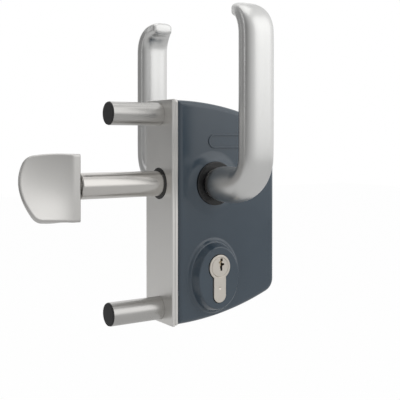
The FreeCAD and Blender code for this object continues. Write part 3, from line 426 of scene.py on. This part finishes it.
hook = {
    "back": -61.7 * mm, "tip": -100.0 * mm, "half": 21.9 * mm, "noseRadius": 35 * mm, "corner": 8 * mm,
    "axisZ": 19.2 * mm, "drop": 0.8 * mm, "thickness": 15 * mm, "edge": 3 * mm, "flat": 5 * mm,
    "twist": 28, "hollow": 1.25,              # degrees at the nose, and the power of its hollow curve
    "rim": 1.5 * mm, "rimShare": 0.42, "backRim": 0.8 * mm,
    "backSteps": 24, "topSteps": 26, "cornerSteps": 12, "noseSteps": 34,
    "rimRings": (0.998, 0.992, 0.982, 0.968, 0.95, 0.93, 0.905), "rings": 16, "ringShift": 0.7,
    "wall": 50 * mm, "smoothAngle": 40,       # the wall is drawn out this far, then set to the middle
}


def hookCorner():         # centre of the nose arc, then of the corner arc, and the angle where they meet
    p = hook
    noseX = p["tip"] + p["noseRadius"]
    cornerZ = p["half"] - p["corner"]
    reach = p["noseRadius"] - p["corner"]
    meet = math.asin(cornerZ / reach)
    return noseX, noseX - reach * math.cos(meet), cornerZ, meet


def hookOutline():        # from the middle of the back edge over the top, the nose and the underside
    p = hook
    noseX, cornerX, cornerZ, meet = hookCorner()
    upper = [(p["back"], p["half"] * step / p["backSteps"]) for step in range(p["backSteps"])]
    for step in range(p["topSteps"]):
        upper.append((p["back"] + (cornerX - p["back"]) * step / p["topSteps"], p["half"]))
    for step in range(p["cornerSteps"]):
        angle = (math.pi / 2 - meet) * step / p["cornerSteps"]
        upper.append((cornerX - p["corner"] * math.sin(angle), cornerZ + p["corner"] * math.cos(angle)))
    for step in range(p["noseSteps"]):
        angle = meet * (1 - step / p["noseSteps"])
        upper.append((noseX - p["noseRadius"] * math.cos(angle), p["noseRadius"] * math.sin(angle)))
    return upper + [(p["tip"], 0)] + [(x, -z) for x, z in reversed(upper[1:])]


def hookRings():          # sizes of the rings inside the outline, close together at the rim
    p = hook
    inner = p["rimRings"][-1]
    steps = range(p["rings"])
    return p["rimRings"] + tuple(inner * (1 - (step + p["ringShift"]) / p["rings"]) for step in steps)


def hookBody(x):          # 1 along the flat at the back, falling in a hollow curve to 0 at the nose
    p = hook
    flatEnd = p["back"] - p["flat"]
    left = 1 - max(0.0, min(1.0, (flatEnd - x) / (flatEnd - p["tip"])))
    return left ** p["hollow"]


def hookDepths(x, z):     # how far in a point lies from the back edge, and from the rest of the outline
    p = hook
    noseX, cornerX, cornerZ, meet = hookCorner()
    alongX = cornerX - x
    alongZ = abs(z) - cornerZ
    depth = p["half"] - abs(z)
    if alongX > 0 and alongZ > 0 and math.atan2(alongX, alongZ) < math.pi / 2 - meet:
        depth = p["corner"] - math.hypot(alongX, alongZ)
    elif x < noseX:
        depth = min(depth, p["noseRadius"] - math.hypot(x - noseX, z))
    return p["back"] - x, max(0.0, depth)


def rimDrop(depth, rim):  # how far a rounded rim falls back at a depth from its edge
    if depth >= rim:
        return 0.0
    return rim - math.sqrt(max(0.0, rim ** 2 - (rim - depth) ** 2))


def modelHook(name):
    p = hook
    middle = p["axisZ"] - p["drop"]
    outline = hookOutline()
    pickNothing()
    bpy.ops.mesh.primitive_circle_add(vertices=len(outline), radius=p["half"], fill_type='NGON')
    piece = nameNew(name)
    for v, (x, z) in zip(piece.data.vertices, outline):       # the ring takes the shape of the outline
        v.co = (x, 0, middle + z)
    editAll('FACE')
    centre = Vector(((p["back"] + p["tip"]) / 2, 0, middle))
    size = 1
    for ring in hookRings():
        bpy.ops.mesh.inset(thickness=0)
        scale((ring / size, 1, ring / size), centre)
        size = ring
    bpy.ops.mesh.poke()
    bpy.ops.mesh.select_mode(type='EDGE')
    bpy.ops.mesh.select_all(action='SELECT')
    bpy.ops.mesh.region_to_loop()
    bpy.ops.mesh.extrude_edges_move(TRANSFORM_OT_translate={"value": (0, p["wall"], 0)})
    bpy.ops.object.mode_set(mode='OBJECT')
    for v in piece.data.vertices:             # the front half: rounded rim, thinner towards the nose
        if v.co.y > p["wall"] / 2:
            v.co.y = 0
            continue
        thick = p["edge"] + (p["thickness"] - p["edge"]) * hookBody(v.co.x)
        backDepth, depth = hookDepths(v.co.x, v.co.z - middle)
        rim = min(p["rim"], p["rimShare"] * thick)
        v.co.y = -thick / 2 + max(rimDrop(depth, rim), rimDrop(backDepth, p["backRim"]))
    applyModifier(piece, 'MIRROR', {'use_axis': (False, True, False), 'merge_threshold': mirrorGap})
    for v in piece.data.vertices:             # leans the blade round the bolt, more towards the nose
        lean = math.radians(p["twist"]) * (1 - hookBody(v.co.x))
        y = v.co.y
        z = v.co.z - middle
        v.co.y = y * math.cos(lean) + z * math.sin(lean)
        v.co.z = middle - y * math.sin(lean) + z * math.cos(lean)
    settle(piece)
    smooth(piece, p["smoothAngle"])
    return piece


hookHead = modelHook("hookHead")
mount(hookHead, "bolt", "hook", "hook_steel", "hook_head")
print("hook done", len(hookHead.data.polygons), "faces")


# pins that show in the key slots

pins = {
    "x": 33.9 * mm, "foot": -38.0 * mm, "radius": 0.75 * mm, "length": 4.6 * mm,
    "first": 25.0 * mm, "spacing": 3.6 * mm, "copies": 3,
    "sides": 20, "roundShare": 0.7, "roundSteps": 4, "smoothAngle": 30,
}


def modelPins(name):      # short rods with a rounded lower end, in a row from behind the face inwards
    p = pins
    pickNothing()
    bpy.ops.mesh.primitive_cylinder_add(vertices=p["sides"], radius=p["radius"], depth=p["length"],
                                        location=(p["x"], -p["first"], p["foot"] + p["length"] / 2))
    piece = nameNew(name)
    editAll('EDGE')
    pickEdges(piece, lambda place: place.z < 0)
    bpy.ops.mesh.bevel(offset=p["radius"] * p["roundShare"], segments=p["roundSteps"])
    bpy.ops.mesh.select_all(action='SELECT')
    for copy in range(p["copies"]):
        bpy.ops.mesh.duplicate_move(TRANSFORM_OT_translate={"value": (0, p["spacing"], 0)})
    settle(piece)
    smooth(piece, p["smoothAngle"])
    return piece


pinsFront = modelPins("pinsFront")
pinsRear = copyAcross(pinsFront, "pinsRear")
mount(pinsFront, "key", "pin", "plug_brass")
mount(pinsRear, "key", "pin", "plug_brass")
print("pins done")


# floor, light and camera

stage = {
    "floorHeight": -0.30, "floorSize": 8.0, "floorColour": (0.66, 0.66, 0.66),
    "floorGlow": 0.98, "floorShine": 0.2,     # how white the floor is to the eye, and in gloss
    "brightWay": (0.85, -0.48, 0.22), "skyDark": 0.14, "skyBright": 1.1,
}
white = (1, 1, 1, 1)


def makeFloor(p):
    pickNothing()
    bpy.ops.mesh.primitive_plane_add(size=p["floorSize"], location=(0, 0, p["floorHeight"]))
    floor = nameNew("floor")
    material, line = newFinish("floorWhite")
    seen = line.node('ShaderNodeLightPath', {}, {}, 'Is Camera Ray')
    shiny = line.node('ShaderNodeLightPath', {}, {}, 'Is Glossy Ray')
    shade = line.node('ShaderNodeBsdfDiffuse', {}, {'Color': (*p["floorColour"], 1)})
    glow = line.node('ShaderNodeEmission', {}, {'Color': white, 'Strength': 1.0})
    mixed = line.node('ShaderNodeMixShader', {}, {0: seen * p["floorGlow"] + shiny * p["floorShine"],
                                                  1: shade, 2: glow})
    line.node('ShaderNodeOutputMaterial', {}, {'Surface': mixed})
    floor.data.materials.append(material)


def makeSky(p):           # white to the eye; its light falls off from the front right to the rear left
    world = bpy.data.worlds.new("sky")
    bpy.context.scene.world = world
    world.use_nodes = True
    world.node_tree.nodes.clear()
    line = Line(world.node_tree)
    direct = line.node('ShaderNodeLightPath', {}, {}, 'Is Camera Ray')
    through = line.node('ShaderNodeLightPath', {}, {}, 'Is Transmission Ray')
    seen = line.maths('MAXIMUM', direct, through)
    way = line.node('ShaderNodeTexCoord', {}, {}, 'Generated')
    along = line.node('ShaderNodeVectorMath', {'operation': 'DOT_PRODUCT'},
                      {0: way, 1: p["brightWay"]}, 'Value')
    share = between(line, along, (-1.0, 1.0), (0.0, 1.0))
    level = share * (p["skyBright"] - p["skyDark"]) + p["skyDark"]
    strength = seen + (1 - seen) * level
    sky = line.node('ShaderNodeBackground', {}, {'Color': white, 'Strength': strength})
    line.node('ShaderNodeOutputWorld', {}, {'Surface': sky})


lampAim = (0, 0, 0.02)
lamps = {
    "keyLamp": {"place": (0.75, -1.1, 0.75), "width": 1.4, "height": 1.4, "power": 3},
    "topLamp": {"place": (-0.05, 0.05, 0.95), "width": 0.8, "height": 0.8, "power": 1.5},
    "rearLamp": {"place": (0.3, 1.2, 0.7), "width": 1.4, "height": 1.4, "power": 2.5},
    "stripLamp": {"place": (-1.1, 0.75, 0.5), "width": 0.3, "height": 0.9, "power": 0.9},
}


def makeLamp(name, p):
    data = bpy.data.lights.new(name, 'AREA')
    data.shape = 'RECTANGLE'
    data.size = p["width"]
    data.size_y = p["height"]
    data.energy = p["power"]
    lamp = bpy.data.objects.new(name, data)
    bpy.context.scene.collection.objects.link(lamp)
    lamp.location = p["place"]
    lamp.rotation_euler = (Vector(lampAim) - lamp.location).to_track_quat('-Z', 'Y').to_euler()


shot = {
    "place": (-0.2643, -0.4572, 0.0502), "yaw": 33.12, "down": 0.86,
    "lens": 68.68, "sensor": 36, "shiftY": -0.125, "nearest": 0.01,
}


def makeCamera(p):
    data = bpy.data.cameras.new("camera")
    data.lens = p["lens"]
    data.sensor_width = p["sensor"]
    data.shift_y = p["shiftY"]
    data.clip_start = p["nearest"]
    camera = bpy.data.objects.new("camera", data)
    bpy.context.scene.collection.objects.link(camera)
    camera.location = p["place"]
    camera.rotation_euler = (math.radians(90 - p["down"]), 0, math.radians(-p["yaw"]))
    bpy.context.scene.camera = camera


makeFloor(stage)
makeSky(stage)
for name, values in lamps.items():
    makeLamp(name, values)
makeCamera(shot)
bpy.context.scene.view_settings.view_transform = 'Standard'
print("stage done")
